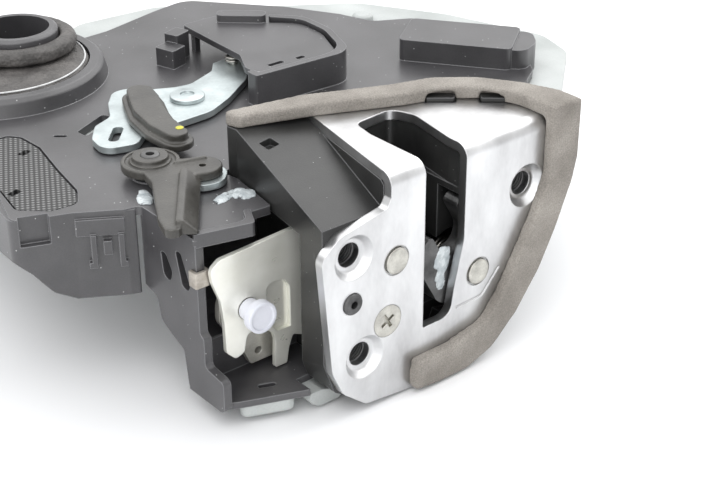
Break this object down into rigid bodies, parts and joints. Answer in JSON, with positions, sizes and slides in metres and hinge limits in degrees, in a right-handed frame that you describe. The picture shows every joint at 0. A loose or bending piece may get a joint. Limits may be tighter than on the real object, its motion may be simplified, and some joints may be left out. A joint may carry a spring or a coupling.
{
  "type": "door latch actuator",
  "caption": "Vehicle door latch module: folded steel face plate with threaded holes, rotating catch and pawl, plastic housing with levers, foam seals, lock motor drive and socket.",
  "frame": {"origin": "centre of the upper left fixing hole, on the front of the face plate", "axes": "+X along the face plate, +Y from the plate into the door, +Z square to the module's main face"},
  "size_m": [0.2041, 0.1893, 0.0708],
  "materials": {
    "plate_steel": "bright zinc plating on formed sheet",
    "zinc_steel": "bright zinc plating",
    "pin_steel": "plated turned steel",
    "dark_steel": "dark coated steel",
    "spring_wire": "drawn spring wire",
    "black_plastic": "fine grained black moulding",
    "bumper_plastic": "brownish black soft plastic",
    "fine_panel": "fine woven texture",
    "foam": "open cell foam, brown grey",
    "pale_plastic": "pale grey moulding",
    "white_nylon": "natural nylon",
    "motor_can": "drawn steel can",
    "contact_brass": "plated contacts",
    "lever_steel": "plated pressed steel",
    "circuit_board": "laminate"
  },
  "bodies": {
    "latch": {"face_plate": "plate_steel", "cable_bracket": "zinc_steel", "catch_pin": "pin_steel", "pawl_pin": "pin_steel", "plate_screw": "pin_steel", "tube_pin": "pin_steel", "lever_rivet": "pin_steel", "hub_pin": "pin_steel", "wheel_pin": "pin_steel", "case_screws": "pin_steel", "pocket_clip": "pin_steel", "catch_spring": "spring_wire", "pawl_spring": "spring_wire", "latch_body": "black_plastic", "housing": "black_plastic", "link_cover": "black_plastic", "connector": "black_plastic", "mesh_panel": "fine_panel", "face_foam": "foam", "ring_foam": "foam", "tube_foam": "foam", "tray": "pale_plastic", "case_lid": "pale_plastic", "pocket_foot": "pale_plastic", "motor": "motor_can", "connector_pins": "contact_brass", "circuit_carrier": "circuit_board"},
    "catch": {"catch": "dark_steel"},
    "pawl": {"pawl": "dark_steel"},
    "outer_lever": {"outer_lever": "zinc_steel", "lever_bumper": "bumper_plastic", "spring_stud": "pin_steel", "return_spring": "spring_wire"},
    "lock_lever": {"lock_lever": "black_plastic", "lock_quadrant": "zinc_steel"},
    "inside_lever": {"inside_lever": "lever_steel", "knob": "white_nylon"},
    "follower": {"cylinder_follower": "black_plastic"},
    "worm": {"worm_shaft": "pin_steel"},
    "wheel": {"worm_wheel": "white_nylon"}
  },
  "joints": [
    {"name": "catch_turn", "type": "hinge", "parent": "latch", "child": "catch", "pos_m": [0.0438, 0.006, -0.0197], "axis": [0, -1, 0], "range_deg": [0, 60], "stiffness_Nm_per_rad": 0.1, "springref_deg": -20.05},
    {"name": "pawl_turn", "type": "hinge", "parent": "latch", "child": "pawl", "pos_m": [0.0142, 0.006, -0.0057], "axis": [0, -1, 0], "range_deg": [-6, 12], "stiffness_Nm_per_rad": 0.05},
    {"name": "outer_lever_turn", "type": "hinge", "parent": "latch", "child": "outer_lever", "pos_m": [0.0152, 0.0955, 0.007], "axis": [0, 0, 1], "range_deg": [0, 10], "stiffness_Nm_per_rad": 0.1, "springref_deg": -11.46},
    {"name": "lock_lever_turn", "type": "hinge", "parent": "latch", "child": "lock_lever", "pos_m": [-0.019, 0.0625, 0.009], "axis": [0, 0, 1], "range_deg": [-12, 8]},
    {"name": "inside_lever_turn", "type": "hinge", "parent": "latch", "child": "inside_lever", "pos_m": [-0.0176, 0.027, -0.0178], "axis": [0, 1, 0], "range_deg": [-8, 8], "stiffness_Nm_per_rad": 0.05},
    {"name": "follower_turn", "type": "hinge", "parent": "latch", "child": "follower", "pos_m": [-0.008, 0.155, -0.003], "axis": [0, 0, 1], "range_deg": [-60, 60]},
    {"name": "worm_spin", "type": "hinge", "parent": "latch", "child": "worm", "pos_m": [0.1058, 0.0742, -0.0016], "axis": [0.5878, -0.809, 0], "range_deg": [-1800, 1800]},
    {"name": "wheel_turn", "type": "hinge", "parent": "latch", "child": "wheel", "pos_m": [0.07418, 0.08522, -0.0016], "axis": [0, 0, 1], "range_deg": [-45, 45]}
  ],
  "couplings": [
    {"joint": "wheel_turn", "follows": "worm_spin", "ratio": 0.025}
  ]
}
